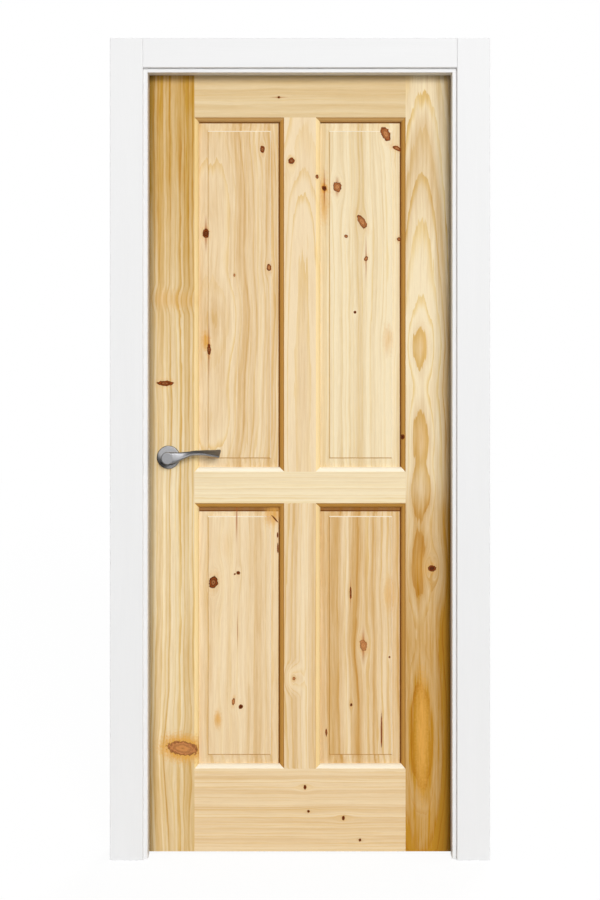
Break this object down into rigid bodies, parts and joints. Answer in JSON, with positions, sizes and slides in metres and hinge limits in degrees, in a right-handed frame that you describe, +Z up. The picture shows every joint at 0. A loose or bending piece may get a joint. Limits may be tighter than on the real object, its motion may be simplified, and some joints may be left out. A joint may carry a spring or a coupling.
{
  "type": "interior door with frame",
  "caption": "Panelled knotty pine door leaf hinged in a white rebated frame with casings, with a twisted lever handle that draws a latch bolt.",
  "frame": {"origin": "floor level, middle of the opening's width and of the wall's thickness", "axes": "+X to the right seen from the push side, +Y through the wall to the pull side, +Z up"},
  "size_m": [0.989, 0.159, 2.125],
  "materials": {
    "pine": "clear satin lacquer on knotty pine",
    "white_lacquer": "white satin lacquer, faint grain",
    "satin_nickel": "satin nickel",
    "steel": "plain steel",
    "seal": "matt light grey",
    "dowel": "raw beech"
  },
  "bodies": {
    "frame": {"strike_jamb": "white_lacquer", "hinge_jamb": "white_lacquer", "head_jamb": "white_lacquer", "push_left_casing": "white_lacquer", "push_right_casing": "white_lacquer", "push_head_casing": "white_lacquer", "pull_left_casing": "white_lacquer", "pull_right_casing": "white_lacquer", "pull_head_casing": "white_lacquer", "strike_seal": "seal", "hinge_seal": "seal", "head_seal": "seal", "strike_plate": "satin_nickel", "strike_screws": "satin_nickel", "upper_hinge_frame_plate": "steel", "middle_hinge_frame_plate": "steel", "lower_hinge_frame_plate": "steel", "upper_hinge_pin": "steel", "middle_hinge_pin": "steel", "lower_hinge_pin": "steel", "hinge_frame_screws": "steel"},
    "leaf": {"lock_stile": "pine", "hinge_stile": "pine", "top_rail": "pine", "lock_rail": "pine", "bottom_rail": "pine", "upper_muntin": "pine", "lower_muntin": "pine", "upper_left_panel": "pine", "upper_right_panel": "pine", "lower_left_panel": "pine", "lower_right_panel": "pine", "rail_dowels": "dowel", "muntin_dowels": "dowel", "upper_hinge_leaf_plate": "steel", "middle_hinge_leaf_plate": "steel", "lower_hinge_leaf_plate": "steel", "hinge_leaf_screws": "steel", "latch_case": "steel", "latch_faceplate": "satin_nickel", "faceplate_screws": "satin_nickel", "latch_spring": "steel", "push_rose_base": "steel", "pull_rose_base": "steel", "rose_screws": "steel", "push_rose": "satin_nickel", "pull_rose": "satin_nickel"},
    "lever_set": {"push_lever": "satin_nickel", "pull_lever": "satin_nickel", "spindle": "steel", "follower": "steel", "grub_screws": "steel"},
    "latch": {"latch_bolt": "satin_nickel"}
  },
  "joints": [
    {"name": "leaf_swing", "type": "hinge", "parent": "frame", "child": "leaf", "pos_m": [0.408, 0.0516, 1.046], "axis": [0, 0, -1], "range_deg": [0, 170]},
    {"name": "lever_turn", "type": "hinge", "parent": "leaf", "child": "lever_set", "pos_m": [-0.3415, 0.0275, 1.03], "axis": [0, 1, 0], "range_deg": [0, 40], "stiffness_Nm_per_rad": 1.2, "springref_deg": -34.38},
    {"name": "latch_slide", "type": "slide", "parent": "leaf", "child": "latch", "axis": [1, 0, 0], "range_m": [0, 0.011], "deforming": ["latch_spring"]}
  ],
  "couplings": [
    {"joint": "latch_slide", "follows": "lever_turn", "m_per_rad": 0.01575}
  ]
}
